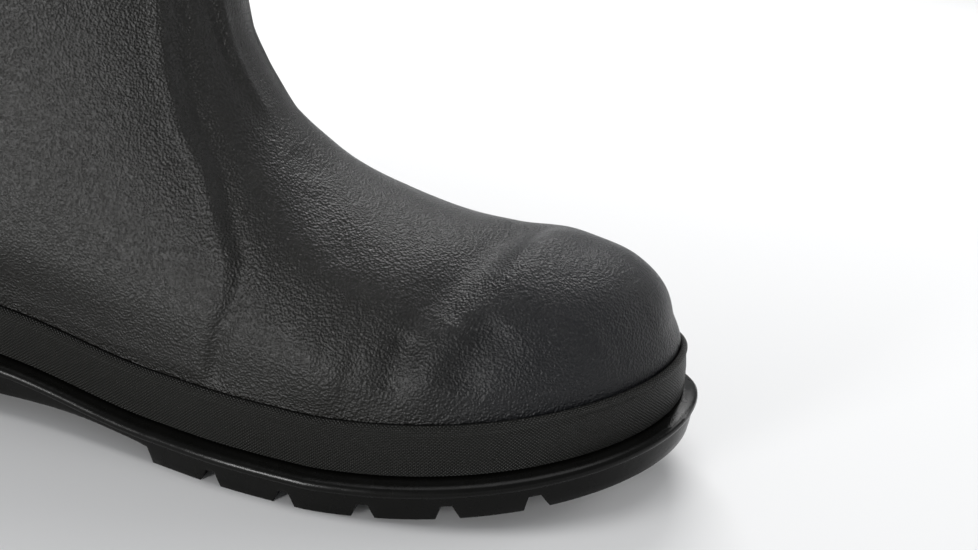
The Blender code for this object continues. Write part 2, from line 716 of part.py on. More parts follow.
def build_insole(material):
    """The insole lies on the platform inside the upper's wall."""
    waist_xs = list(np.linspace(BALL_X, ROUND_X, 9)[:-1])
    stations = outline_stations(9, waist_xs, 7)
    inset = UPPER_INSET + WALL + 3 * CLEARANCE
    bm = bmesh.new()
    loops = []
    for edge, up in ((inset, CLEARANCE), (inset, INSOLE_THICKNESS - INSOLE_ROUND),
                     (inset + INSOLE_ROUND, INSOLE_THICKNESS)):
        lateral, medial = outline_sides(stations, edge)
        low = [bm.verts.new((x, y, platform(x) + up)) for x, y in lateral]
        high = [bm.verts.new((x, y, platform(x) + up)) for x, y in medial[1:-1]]
        loops.append((low, [low[0]] + high + [low[-1]]))
    for (low_a, high_a), (low_b, high_b) in zip(loops, loops[1:]):
        for line_a, line_b in ((low_a, low_b), (high_a, high_b)):
            for k in range(len(line_a) - 1):
                bm.faces.new([line_a[k], line_b[k], line_b[k + 1], line_a[k + 1]])
    for low, high in (loops[0], loops[-1]):
        for k in range(len(low) - 1):
            bm.faces.new(list(dict.fromkeys([low[k], high[k], high[k + 1], low[k + 1]])))
    return finish_piece("insole", bm, material)


def build_boot():
    """Build every piece of the boot."""
    for thing in list(bpy.data.objects):
        bpy.data.objects.remove(thing, do_unlink=True)
    upper = build_upper(rubber("upper_rubber", RUBBER_BLACK, 0.45))
    build_band(upper, rubber("band_rubber", BAND_BLACK, 0.60))
    build_outsole(rubber("sole_rubber", SOLE_BLACK, 0.40))
    build_insole(rubber("insole_felt", INSOLE_GREY, 0.90))


build_boot()
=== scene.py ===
"""Knee-high rubber safety boot for the right foot, dressed for its picture.

The toe points along +X, the outer side of the foot along -Y, up is +Z. Sizes are in metres.
"""
import math

import bmesh
import bpy
import numpy as np
from mathutils import Matrix, Vector


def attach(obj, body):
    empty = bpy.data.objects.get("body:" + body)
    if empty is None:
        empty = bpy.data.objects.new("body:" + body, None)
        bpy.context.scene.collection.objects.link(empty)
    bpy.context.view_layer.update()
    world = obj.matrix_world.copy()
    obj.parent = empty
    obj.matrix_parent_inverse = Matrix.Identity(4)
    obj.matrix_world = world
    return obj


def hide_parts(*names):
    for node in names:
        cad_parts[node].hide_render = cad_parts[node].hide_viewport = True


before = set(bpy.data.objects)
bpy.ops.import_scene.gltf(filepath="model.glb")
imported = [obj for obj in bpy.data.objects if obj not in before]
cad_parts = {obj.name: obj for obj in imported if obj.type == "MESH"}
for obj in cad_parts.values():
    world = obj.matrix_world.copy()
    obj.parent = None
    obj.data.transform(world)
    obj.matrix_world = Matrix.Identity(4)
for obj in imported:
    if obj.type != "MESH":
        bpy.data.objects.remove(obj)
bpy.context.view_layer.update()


# Outsole: moulded black rubber, vulcanised to the boot. A rounded lip runs around it,
# trapezoid notches part the lugs along both edges, the waist is raised and the heel is a block.

LENGTH = 0.305
BALL_WIDTH = 0.116
HEEL_WIDTH = 0.082
BALL_TO_TOE = 0.1043
HEEL_ROUND = 0.0425
TOE_POWER_LATERAL = 2.1
TOE_POWER_MEDIAL = 2.0
HEEL_POWER = 2.3
TOE_LEAN = 0.0053
PLATFORM_HEIGHT = 0.0119
SIDE_DRAFT = 0.0010
TOE_SPRING = 0.0166
SPRING_LENGTH = 0.1147
HEEL_RISE = 0.0090
HEEL_LENGTH = 0.0745
ARCH_HEIGHT = 0.0078
LUG_DEPTH = 0.0044
LUG_PITCH = 0.0238
LUG_REACH = 0.030
NOTCH_MOUTH = 0.0068
NOTCH_ROOF = 0.0032
MIDDLE_SHARE = 0.80
MIDDLE_OVERLAP = 0.0040
CUT_OVERSHOOT = 0.0060
TREAD_LENGTH = 0.1549
HEEL_BEVEL = 0.0016
HEEL_BEVEL_LENGTH = 0.0160
CLEARANCE = 0.0003
TREAD_INSET = 0.0016
WALL_FLARE = 0.4
TOE_STEPS = 44
HEEL_STEPS = 30

TOE_X = LENGTH / 2
HEEL_X = -LENGTH / 2
BALL_X = TOE_X - BALL_TO_TOE
ROUND_X = HEEL_X + HEEL_ROUND
TREAD_REAR_X = TOE_X - TREAD_LENGTH
BREAST_X = HEEL_X + HEEL_LENGTH

# Outline behind the ball: distance behind the toe as a share of LENGTH, and the
# distances to both sides as shares of BALL_WIDTH
OUTLINE = (
    # name, back, lateral, medial
    ("ball", 0.342, 0.500, 0.500),
    ("ball rear", 0.434, 0.472, 0.462),
    ("waist front", 0.533, 0.415, 0.385),
    ("waist", 0.648, 0.362, 0.322),
    ("heel breast", 0.762, 0.346, 0.326),
    ("heel", 0.861, 0.353, 0.353),
)

# Profile of the rim from the band's foot down to the tread: inset, and drop below the platform
RIM = (
    # name, inset, drop
    ("under the band", 0.0066, 0.0002),
    ("band foot", 0.0046, 0.0003),
    ("hollow", 0.0036, 0.0007),
    ("ledge", 0.0022, 0.0011),
    ("lip crown", 0.0009, 0.0015),
    ("lip round", 0.0002, 0.0023),
    ("lip face", 0.0000, 0.0034),
    ("lip foot", 0.0003, 0.0043),
    ("lip step", 0.0010, 0.0048),
    ("side wall", 0.0010, 0.0056),
)


def smooth_curve(knots, values, at):
    """Cubic curve through the knots, with slopes taken from their neighbours."""
    knots = np.asarray(knots, float)
    values = np.asarray(values, float)
    steps = np.diff(knots)
    chords = np.diff(values) / steps
    slopes = np.empty_like(values)
    slopes[0] = chords[0]
    slopes[-1] = chords[-1]
    slopes[1:-1] = (chords[:-1] * steps[1:] + chords[1:] * steps[:-1]) / (steps[:-1] + steps[1:])
    at = np.clip(np.asarray(at, float), knots[0], knots[-1])
    i = np.clip(np.searchsorted(knots, at, side="right") - 1, 0, len(knots) - 2)
    h = steps[i]
    t = (at - knots[i]) / h
    return (
        values[i] * (1 + 2 * t) * (1 - t) ** 2
        + slopes[i] * h * t * (1 - t) ** 2
        + values[i + 1] * t * t * (3 - 2 * t)
        + slopes[i + 1] * h * t * t * (t - 1)
    )


def ease(t):
    """Smooth step from 0 to 1."""
    t = np.clip(t, 0.0, 1.0)
    return t * t * (3 - 2 * t)


def toe_spring(x):
    """Lift of the forefoot over the floor."""
    reach = np.maximum(np.asarray(x, float) - (TOE_X - SPRING_LENGTH), 0.0)
    return TOE_SPRING * (reach / SPRING_LENGTH) ** 2


def platform(x):
    """Height of the sole's upper face: toe spring in front, heel rise behind."""
    x = np.asarray(x, float)
    return PLATFORM_HEIGHT + toe_spring(x) + HEEL_RISE * ease((TREAD_REAR_X - x) / (TREAD_REAR_X - BREAST_X))


def sole_edge(x, side, inset=0.0):
    """Y of the sole's outline at x; side is -1 for the outer side and 1 for the inner one."""
    x = np.asarray(x, float)
    power = TOE_POWER_LATERAL if side < 0 else TOE_POWER_MEDIAL
    reach = np.clip((x - BALL_X) / (BALL_TO_TOE - inset), 0.0, 1.0)
    half = BALL_WIDTH / 2 - side * TOE_LEAN - inset
    front = TOE_LEAN + side * half * (1 - reach ** power) ** (1 / power)
    column = 2 if side < 0 else 3
    backs = [BALL_TO_TOE] + [row[1] * LENGTH for row in OUTLINE[1:-1]] + [LENGTH - HEEL_ROUND]
    halves = [row[column] * BALL_WIDTH for row in OUTLINE[:-1]] + [HEEL_WIDTH / 2]
    waist = side * (smooth_curve(backs, halves, TOE_X - x) - inset)
    reach = np.clip((ROUND_X - x) / (HEEL_ROUND - inset), 0.0, 1.0)
    heel = side * (HEEL_WIDTH / 2 - inset) * (1 - reach ** HEEL_POWER) ** (1 / HEEL_POWER)
    return np.where(x >= BALL_X, front, np.where(x > ROUND_X, waist, heel))


def outline_loop(inset, toe_steps, waist_xs, heel_steps):
    """The outline as a closed loop: outer side to the heel, inner side back to the toe."""
    toe = BALL_X + (BALL_TO_TOE - inset) * np.sin(math.pi / 2 * (1 - np.arange(toe_steps) / toe_steps))
    heel = ROUND_X - (HEEL_ROUND - inset) * np.sin(math.pi / 2 * np.arange(heel_steps + 1) / heel_steps)
    xs = np.concatenate([toe, waist_xs, heel])
    outer = np.stack([xs, sole_edge(xs, -1, inset)], axis=1)
    inner = np.stack([xs, sole_edge(xs, 1, inset)], axis=1)
    return np.concatenate([outer, inner[-2:0:-1]])


def tread_height(x):
    """Height of the underside: lugs on the floor, raised waist, heel block."""
    x = np.asarray(x, float)
    bevel = np.maximum((HEEL_X + HEEL_BEVEL_LENGTH - x) / HEEL_BEVEL_LENGTH, 0.0)
    middle = (TREAD_REAR_X + BREAST_X) / 2
    share = np.maximum((x - middle) / (TREAD_REAR_X - middle), 0.0)
    arch = ARCH_HEIGHT - (ARCH_HEIGHT - LUG_DEPTH) * share ** 2
    return np.where(x >= TREAD_REAR_X, toe_spring(x), np.where(x <= BREAST_X, HEEL_BEVEL * bevel ** 2, arch))


def skin_mesh(name, verts, faces, smooth_angle):
    """A mesh object made of vertices and faces, smooth apart from its sharp edges."""
    mesh = bpy.data.meshes.new(name)
    mesh.from_pydata([tuple(v) for v in verts], [], faces)
    mesh.validate()
    mesh.shade_smooth()
    mesh.set_sharp_from_angle(angle=math.radians(smooth_angle))
    piece = bpy.data.objects.new(name, mesh)
    bpy.context.scene.collection.objects.link(piece)
    return piece


def ring_faces(rings, count):
    """Faces between closed rings of count vertices that follow each other."""
    faces = []
    for ring in range(rings - 1):
        for k in range(count):
            after = (k + 1) % count
            faces.append((ring * count + k, ring * count + after,
                          (ring + 1) * count + after, (ring + 1) * count + k))
    return faces


def groove_bar(cutter, x, y0, y1, mouth, roof, depth):
    """Add a trapezoid bar that cuts one groove across the sole."""
    slope = 2 * TOE_SPRING * max(x - (TOE_X - SPRING_LENGTH), 0.0) / SPRING_LENGTH ** 2
    flare = (mouth - roof) * CUT_OVERSHOOT / depth / 2
    corners = []
    for y in (y0, y1):
        for ahead, up in ((-mouth / 2 - flare, -CUT_OVERSHOOT), (mouth / 2 + flare, -CUT_OVERSHOOT),
                          (roof / 2, depth), (-roof / 2, depth)):
            corners.append((x + ahead - slope * up, y, float(toe_spring(x)) + up + slope * ahead))
    verts = [cutter.verts.new(corner) for corner in corners]
    cutter.faces.new(verts[0:4])
    cutter.faces.new(verts[7:3:-1])
    for k in range(4):
        after = (k + 1) % 4
        cutter.faces.new([verts[k], verts[k + 4], verts[after + 4], verts[after]])


def cut_away(piece, cutter_mesh, name):
    """Cut the bars out of the sole and leave a plain mesh."""
    bmesh.ops.recalc_face_normals(cutter_mesh, faces=cutter_mesh.faces)
    mesh = bpy.data.meshes.new(name)
    cutter_mesh.to_mesh(mesh)
    cutter_mesh.free()
    cutter = bpy.data.objects.new(name, mesh)
    bpy.context.scene.collection.objects.link(cutter)
    cut = piece.modifiers.new(name, "BOOLEAN")
    cut.operation = "DIFFERENCE"
    cut.solver = "EXACT"
    cut.object = cutter
    settle(piece)
    bpy.data.objects.remove(cutter)


def settle(piece):
    """Apply a piece's modifiers to its mesh."""
    bpy.context.view_layer.update()
    evaluated = piece.evaluated_get(bpy.context.evaluated_depsgraph_get())
    made = bpy.data.meshes.new_from_object(evaluated)
    piece.modifiers.clear()
    piece.data = made


slope = LUG_DEPTH / 2
waist_xs = np.concatenate([
    np.linspace(BALL_X, TREAD_REAR_X, 14),
    np.linspace(TREAD_REAR_X - slope, BREAST_X + slope, 20),
    np.linspace(BREAST_X, ROUND_X, 9)[:-1],
])
sole_rings = []
for name, inset, drop in RIM:
    loop = outline_loop(inset, TOE_STEPS, waist_xs, HEEL_STEPS)
    sole_rings.append(np.column_stack([loop, platform(loop[:, 0]) - drop]))
for share in (0.33, 0.66):
    loop = outline_loop(SIDE_DRAFT * (1 + WALL_FLARE * share), TOE_STEPS, waist_xs, HEEL_STEPS)
    wall_top = platform(loop[:, 0]) - RIM[-1][2]
    sole_rings.append(np.column_stack([loop, wall_top + (tread_height(loop[:, 0]) - wall_top) * share]))
loop = outline_loop(TREAD_INSET, TOE_STEPS, waist_xs, HEEL_STEPS)
sole_rings.append(np.column_stack([loop, tread_height(loop[:, 0])]))
count = len(loop)
faces = ring_faces(len(sole_rings), count)
half = count // 2
for base in (0, (len(sole_rings) - 1) * count):
    for k in range(half):
        corners = [base + k, base + k + 1, base + (count - k - 1) % count, base + (count - k) % count]
        faces.append(tuple(dict.fromkeys(corners)))
outsole = skin_mesh("outsole_rubber", np.concatenate(sole_rings), faces, 35)
fixed = bmesh.new()
fixed.from_mesh(outsole.data)
bmesh.ops.recalc_face_normals(fixed, faces=fixed.faces)
fixed.to_mesh(outsole.data)
fixed.free()

forefoot_notches = []
x = TREAD_REAR_X + LUG_PITCH - NOTCH_MOUTH / 2
while x < TOE_X - 1.2 * LUG_PITCH:
    forefoot_notches.append(x)
    x += LUG_PITCH
heel_notches = []
x = BREAST_X - LUG_PITCH + NOTCH_MOUTH / 2
while x > HEEL_X + 0.9 * LUG_PITCH:
    heel_notches.append(x)
    x -= LUG_PITCH
notches = bmesh.new()
for x in forefoot_notches + heel_notches:
    for side in (-1, 1):
        edge = float(sole_edge(x, side))
        groove_bar(notches, x, edge + side * CUT_OVERSHOOT, edge - side * LUG_REACH,
                   NOTCH_MOUTH, NOTCH_ROOF, LUG_DEPTH)
cut_away(outsole, notches, "notch_cutter")
grooves = bmesh.new()
for x in [place - LUG_PITCH / 2 for place in forefoot_notches] + [heel_notches[-1] + LUG_PITCH / 2]:
    groove_bar(grooves, x, float(sole_edge(x, -1)) + LUG_REACH - MIDDLE_OVERLAP,
               float(sole_edge(x, 1)) - LUG_REACH + MIDDLE_OVERLAP,
               NOTCH_MOUTH * MIDDLE_SHARE, NOTCH_ROOF * MIDDLE_SHARE, LUG_DEPTH * MIDDLE_SHARE)
cut_away(outsole, grooves, "groove_cutter")
rounding = outsole.modifiers.new("rounding", "BEVEL")
rounding.width = 0.0005
rounding.segments = 2
rounding.limit_method = "ANGLE"
rounding.angle_limit = math.radians(38)
rounding.use_clamp_overlap = True
settle(outsole)
outsole.data.shade_smooth()
outsole.data.set_sharp_from_angle(angle=math.radians(50))


def add_node(tree, kind, place, **values):
    """Add a shader node; values fill its properties and its sockets by name."""
    node = tree.nodes.new(kind)
    node.location = place
    for name, value in values.items():
        if hasattr(node, name):
            setattr(node, name, value)
        else:
            node.inputs[name.replace("_", " ")].default_value = value
    return node


def rubber_shader(name, colour, roughness, specular):
    """Start of a rubber material: its tree, its shader and the boot's own coordinates."""
    material = bpy.data.materials.new(name)
    material.use_nodes = True
    tree = material.node_tree
    shader = tree.nodes["Principled BSDF"]
    shader.inputs["Base Color"].default_value = colour
    shader.inputs["Roughness"].default_value = roughness
    shader.inputs["Specular IOR Level"].default_value = specular
    where = add_node(tree, "ShaderNodeTexCoord", (-1500, 0))
    return material, tree, shader, where.outputs["Object"]


def remap(tree, source, low, high, place):
    """Spread a 0 to 1 value between two numbers."""
    node = add_node(tree, "ShaderNodeMapRange", place)
    node.inputs["To Min"].default_value = low
    node.inputs["To Max"].default_value = high
    tree.links.new(source, node.inputs["Value"])
    return node.outputs["Result"]


def bump(tree, height, strength, distance, place, below=None):
    """A bump node on top of another one."""
    node = add_node(tree, "ShaderNodeBump", place)
    node.inputs["Strength"].default_value = strength
    node.inputs["Distance"].default_value = distance
    tree.links.new(height, node.inputs["Height"])
    if below is not None:
        tree.links.new(below, node.inputs["Normal"])
    return node.outputs["Normal"]


# Smooth glossy moulding with a faint skin of flow marks
sole_material, tree, shader, where = rubber_shader("sole_rubber", (0.0022, 0.0022, 0.0019, 1), 0.26, 0.15)
flow = add_node(tree, "ShaderNodeTexNoise", (-1200, 0), Scale=140.0, Detail=5.0, Roughness=0.6)
tree.links.new(where, flow.inputs["Vector"])
fine = add_node(tree, "ShaderNodeTexNoise", (-1200, -300), Scale=1800.0, Detail=3.0, Roughness=0.6)
tree.links.new(where, fine.inputs["Vector"])
tree.links.new(remap(tree, flow.outputs["Fac"], 0.18, 0.38, (-700, 100)), shader.inputs["Roughness"])
lower = bump(tree, flow.outputs["Fac"], 0.25, 0.0006, (-600, -200))
tree.links.new(bump(tree, fine.outputs["Fac"], 0.25, 0.0001, (-350, -250), lower), shader.inputs["Normal"])
outsole.data.materials.clear()
outsole.data.materials.append(sole_material)
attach(outsole, "root")
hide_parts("outsole")


# Upper: one skin of rubber moulded over the lining and the steel cap. The ankle overlay,
# the shin strip and the collar bead stand proud of it, and wear has left soft folds in the vamp.

INSTEP_HEIGHT = 0.098
BOOT_HEIGHT = 0.385
SHAFT_WIDTH = 0.118
SHAFT_DEPTH = 0.147
WALL = 0.0028
UPPER_INSET = 0.0076
BAND_HEIGHT = 0.0156
BAND_RELEASE = 0.030
TOE_RELEASE = 0.0100
TOE_WALL_REACH = 0.92
OVERLAY_TOP = 0.190
SHIN_STRIP_WIDTH = 0.0215
COLLAR_BEAD_HEIGHT = 0.0070
COLLAR_BEAD_DEPTH = 0.0015
OVERLAY_STEP = 0.0008
OVERLAY_RIM = 0.0010
OVERLAY_TROUGH = 0.0009
ANKLE_HOLLOW = 0.0010
STRIP_STEP = 0.0006
STRIP_RIDGE = 0.0009
STRIP_TROUGH = 0.0007
ROW_STEP = 0.0015
HALF_COLUMNS = 126
CROWDING = 1.0
COLLAR_SPAN = 0.16
COLLAR_ROWS = 9
LIP_TURN = 0.010

# Sections of the foot, from the top line down to the edge that the sole closes: back and up
# place the top, sole_back the foot, as shares of LENGTH and INSTEP_HEIGHT; widest is the
# share of its depth, swell is a share of BALL_WIDTH over the sole's edge
FOOT_SECTIONS = (
    # name, back, up, sole_back, widest, swell, round_top, round_low
    ("toe tip", 0.0249, 0.278, 0.0249, 0.98, 0.000, 2.1, 2.0),
    ("toe front", 0.0325, 0.470, 0.0325, 0.97, 0.001, 2.1, 2.0),
    ("toe face", 0.0475, 0.610, 0.0475, 0.93, 0.003, 2.2, 2.0),
    ("toe round", 0.0820, 0.693, 0.0820, 0.88, 0.006, 2.3, 2.0),
    ("cap", 0.1270, 0.727, 0.1270, 0.82, 0.008, 2.3, 2.0),
    ("cap crown", 0.1720, 0.744, 0.1720, 0.78, 0.009, 2.25, 2.0),
    ("saddle", 0.2120, 0.729, 0.2120, 0.74, 0.008, 2.2, 2.0),
    ("vamp", 0.2650, 0.743, 0.2680, 0.72, 0.007, 2.1, 2.0),
    ("ball", 0.3300, 0.797, 0.3450, 0.70, 0.006, 2.05, 2.0),
    ("ball rear", 0.3830, 0.870, 0.4150, 0.68, 0.008, 2.0, 2.0),
    ("instep", 0.4210, 0.967, 0.4900, 0.66, 0.014, 2.0, 2.0),
    ("instep rear", 0.4490, 1.071, 0.5850, 0.64, 0.027, 2.0, 2.0),
    ("waist", 0.4700, 1.186, 0.6900, 0.62, 0.045, 2.05, 2.1),
    ("heel front", 0.4830, 1.312, 0.8000, 0.60, 0.060, 2.1, 2.2),
    ("heel", 0.4910, 1.444, 0.8990, 0.60, 0.062, 2.1, 2.3),
    ("heel round", 0.4950, 1.546, 0.9500, 0.60, 0.060, 2.1, 2.3),
    ("heel seat", 0.4980, 1.628, 0.9715, 0.60, 0.060, 2.1, 2.3),
)

# Closed sections above the heel: heights as shares of BOOT_HEIGHT, front and rear as shares
# of SHAFT_DEPTH ahead of the heel line, width as a share of SHAFT_WIDTH
SHAFT_SECTIONS = (
    # name, front_up, rear_up, front, rear, widest, width, round_front, round_rear
    ("counter low", 0.446, 0.120, 0.9835, -0.006, 0.60, 0.660, 2.1, 2.3),
    ("counter", 0.464, 0.190, 0.9800, 0.006, 0.59, 0.672, 2.1, 2.3),
    ("heel top", 0.488, 0.265, 0.9770, 0.048, 0.58, 0.700, 2.1, 2.25),
    ("ankle", 0.522, 0.350, 0.9730, 0.075, 0.56, 0.742, 2.1, 2.2),
    ("ankle top", 0.575, 0.460, 0.9690, 0.082, 0.54, 0.805, 2.1, 2.15),
    ("shaft low", 0.650, 0.590, 0.9680, 0.070, 0.52, 0.880, 2.1, 2.1),
    ("calf low", 0.750, 0.720, 0.9720, 0.045, 0.51, 0.945, 2.1, 2.1),
    ("calf", 0.870, 0.855, 0.9800, 0.020, 0.50, 0.985, 2.1, 2.1),
    ("collar", 1.000, 0.985, 0.9900, 0.004, 0.50, 1.000, 2.1, 2.1),
)
LAST_FOOT = len(FOOT_SECTIONS) - 1

# Front edge of the ankle overlay, seen from the side: up as a share of INSTEP_HEIGHT,
# ahead as a share of LENGTH in front of the middle
OVERLAY_EDGE = (
    # up, ahead
    (0.26, 0.0459),
    (0.39, 0.0492),
    (0.49, 0.0560),
    (0.54, 0.0623),
    (0.61, 0.0672),
    (0.68, 0.0656),
    (0.735, 0.0557),
    (0.81, 0.0426),
    (0.85, 0.0361),
    (0.91, 0.0262),
    (0.97, 0.0131),
    (1.03, 0.0000),
    (1.09, -0.0066),
    (1.15, -0.0131),
    (1.30, -0.0230),
    (1.50, -0.0310),
    (1.94, -0.0500),
)


def section_table():
    """Rows of the upper's knots: top point, foot point, widest, swell each side, roundness."""
    heel_line = HEEL_X + UPPER_INSET
    knots = []
    for name, back, up, sole_back, widest, swell, round_top, round_low in FOOT_SECTIONS:
        knots.append([TOE_X - back * LENGTH, up * INSTEP_HEIGHT, TOE_X - sole_back * LENGTH, 0.0, widest,
                      swell * BALL_WIDTH, swell * BALL_WIDTH, round_top, round_low])
    toe_x = TOE_X - UPPER_INSET
    knots[0][:3] = [toe_x, float(platform(toe_x)) + CLEARANCE, toe_x]
    knots[-1][2:4] = [heel_line, float(platform(heel_line)) + CLEARANCE]
    for name, front_up, rear_up, front, rear, widest, width, round_front, round_rear in SHAFT_SECTIONS:
        top_x = heel_line + front * SHAFT_DEPTH
        rear_x = heel_line + rear * SHAFT_DEPTH
        wide_x = top_x + (rear_x - top_x) * widest
        half = width * SHAFT_WIDTH / 2
        knots.append([top_x, front_up * BOOT_HEIGHT, rear_x, rear_up * BOOT_HEIGHT, widest,
                      half + float(sole_edge(wide_x, -1, UPPER_INSET)),
                      half - float(sole_edge(wide_x, 1, UPPER_INSET)), round_front, round_rear])
    return np.array(knots)


def section_row(table, place):
    """One section between the knots."""
    order = np.arange(len(table))
    row = [float(smooth_curve(order, table[:, column], place)) for column in range(table.shape[1])]
    if place < LAST_FOOT:
        row[3] = float(platform(row[2])) + CLEARANCE
    return row


def half_section(row, side, on_foot):
    """Dense points of one half of a section, from the top line to its foot."""
    top_x, top_z, foot_x, foot_z, widest, lateral, medial, round_top, round_low = row
    centre = 0.0
    if top_x > BALL_X:
        centre = float(sole_edge(top_x, -1, UPPER_INSET) + sole_edge(top_x, 1, UPPER_INSET)) / 2
    depth = max(math.hypot(foot_x - top_x, foot_z - top_z), 0.00001)
    wide_x = top_x + (foot_x - top_x) * widest
    swell = lateral if side < 0 else medial
    foot_half = side * (float(sole_edge(foot_x, side, UPPER_INSET)) - centre) if on_foot else 0.0
    half = max(side * (float(sole_edge(wide_x, side, UPPER_INSET)) - centre) + swell, foot_half + 0.0001)
    wide = widest * depth
    share = (foot_half / half) ** round_low
    end = wide + (depth - wide) / (1 - share) ** (1 / round_low)
    angles = np.linspace(0.0, math.pi / 2, 90)
    downs = wide * (1 - np.cos(angles).clip(0) ** (2 / round_top))
    outs = half * np.sin(angles) ** (2 / round_top)
    stop = math.asin(min((depth - wide) / (end - wide), 1.0) ** (round_low / 2))
    angles = np.linspace(0.0, stop, 90)[1:]
    downs = np.concatenate([downs, wide + (end - wide) * np.sin(angles) ** (2 / round_low)])
    outs = np.concatenate([outs, half * np.cos(angles).clip(0) ** (2 / round_low)])
    downs[-1] = depth
    outs[-1] = foot_half
    shares = downs / depth
    return np.stack([top_x + (foot_x - top_x) * shares, centre + side * outs,
                     top_z + (foot_z - top_z) * shares], axis=1)


def even_points(points, count):
    """Points at even steps along a line, a little closer together towards its foot."""
    lengths = np.concatenate([[0.0], np.cumsum(np.linalg.norm(np.diff(points, axis=0), axis=1))])
    places = lengths[-1] * np.sin(np.linspace(0.0, CROWDING, count)) / math.sin(CROWDING)
    return np.stack([np.interp(places, lengths, points[:, axis]) for axis in range(3)], axis=1)


def hold_in_band(points):
    """Keep the wall on the sole's inset outline as high as the band, then let it swell."""
    x, y, z = points[..., 0], points[..., 1], points[..., 2]
    free = ease((z - platform(x) - BAND_HEIGHT) / BAND_RELEASE)
    held = points.copy()
    for side in (-1, 1):
        here = (y < 0) if side < 0 else (y >= 0)
        waist = here & (x > ROUND_X) & (x < BALL_X)
        edge = sole_edge(x, side, UPPER_INSET)
        held[..., 1] = np.where(waist, edge + (y - edge) * free, held[..., 1])
        power = TOE_POWER_LATERAL if side < 0 else TOE_POWER_MEDIAL
        for front, middle, length, half, bend in (
            (True, (BALL_X, TOE_LEAN), BALL_TO_TOE - UPPER_INSET,
             BALL_WIDTH / 2 - side * TOE_LEAN - UPPER_INSET, power),
            (False, (ROUND_X, 0.0), HEEL_ROUND - UPPER_INSET, HEEL_WIDTH / 2 - UPPER_INSET, HEEL_POWER),
        ):
            along = np.abs(x - middle[0]) / length
            across = np.abs(y - middle[1]) / half
            reach = np.maximum((along ** bend + across ** bend) ** (1 / bend), 0.00001)
            leaning = np.maximum(ease((z - platform(x) - BAND_HEIGHT) / TOE_RELEASE),
                                 1 - ease((reach - TOE_WALL_REACH) / (1 - TOE_WALL_REACH) * 2))
            slack = np.where((reach < 1) & front, leaning, free)
            scale = 1 / reach + (1 - 1 / reach) * slack
            inside = here & ((x >= BALL_X) if front else (x <= ROUND_X))
            held[..., 0] = np.where(inside, middle[0] + (x - middle[0]) * scale, held[..., 0])
            held[..., 1] = np.where(inside, middle[1] + (y - middle[1]) * scale, held[..., 1])
    return held


def wall_grid(places, half_columns):
    """Base surface of the wall: one row for each place, columns from side to side."""
    table = section_table()
    grid = []
    for place in places:
        row = section_row(table, place)
        on_foot = place <= LAST_FOOT
        outer = even_points(half_section(row, -1, on_foot), half_columns)
        inner = even_points(half_section(row, 1, on_foot), half_columns)
        grid.append(np.concatenate([outer[::-1], inner[1:]]))
    return hold_in_band(np.array(grid))


def wall_normals(grid, closed):
    """Outward normals of the wall; a closed row joins its two ends."""
    along = np.gradient(grid, axis=0)
    across = np.gradient(grid, axis=1)
    seam = (grid[closed, 1] - grid[closed, -2]) / 2
    across[closed, 0] = seam
    across[closed, -1] = seam
    normals = np.cross(across, along)
    normals /= np.maximum(np.linalg.norm(normals, axis=2, keepdims=True), 1e-12)
    if normals[len(grid) // 2, grid.shape[1] // 2, 0] < 0:
        normals = -normals
    normals[0] = (1.0, 0.0, 0.0)
    return normals


def even_places(step):
    """Places of the rows, a step apart along whichever of top line and foot line runs faster."""
    table = section_table()
    dense = np.linspace(0.0, len(table) - 1, 1200)
    rows = np.array([section_row(table, place)[:4] for place in dense])
    moves = np.diff(rows, axis=0)
    lengths = np.maximum(np.hypot(moves[:, 0], moves[:, 1]), np.hypot(moves[:, 2], moves[:, 3]))
    run = np.concatenate([[0.0], np.cumsum(lengths)])
    places = np.interp(np.linspace(0.0, run[-1], int(run[-1] / step)), run, dense)
    return np.unique(np.concatenate([places, [LAST_FOOT]]))


# Folds of the vamp and shaft, each a line over the wall in millimetres ahead of the middle,
# inward and up; negative heights are troughs, positive ones ridges
FOLDS = (
    # name, height, width, points
    ("behind the cap", -2.6, 7.5, ((97, 26, 69), (97, 12, 71), (95, 4, 72), (91, -4, 71), (87, -16, 69),
                                   (82, -26, 65), (77, -34, 59), (73, -41, 51))),
    ("cap's rear edge", 1.0, 6.0, ((104, 14, 73), (103, -2, 73), (97, -18, 69), (91, -30, 61))),
    ("front valley", -2.0, 6.0, ((87, -44, 38), (90, -41, 47), (94, -38, 53), (99, -33, 57))),
    ("ridge between", 1.3, 5.0, ((77, -48, 38), (79, -45, 46), (82, -40, 53), (86, -35, 58))),
    ("rear valley", -1.7, 5.0, ((68, -49, 36), (70, -47, 43), (71, -44, 49), (72, -41, 55))),
    ("side swelling", 1.3, 11.0, ((38, -48, 43), (48, -48, 42), (58, -48, 40))),
    ("instep dimple", -0.6, 4.5, ((26, -10, 92), (30, -11, 87), (33, -14, 84))),
    ("vamp fold", -0.6, 6.0, ((34, -15, 84), (40, -22, 77), (46, -28, 72), (53, -34, 65))),
    ("toe hollow", -0.5, 9.0, ((124, -26, 50), (131, -18, 54), (136, -8, 57))),
    ("inner rear fold", -0.9, 6.0, ((70, 46, 38), (73, 42, 48), (78, 36, 57))),
    ("inner front fold", -1.0, 6.0, ((88, 42, 40), (92, 38, 50), (96, 32, 58))),
    ("ankle front fold", -0.8, 9.0, ((2, -16, 118), (4, 0, 121), (2, 16, 118))),
    ("heel back fold", -0.9, 9.0, ((-128, -14, 108), (-131, 0, 104), (-128, 14, 108))),
)


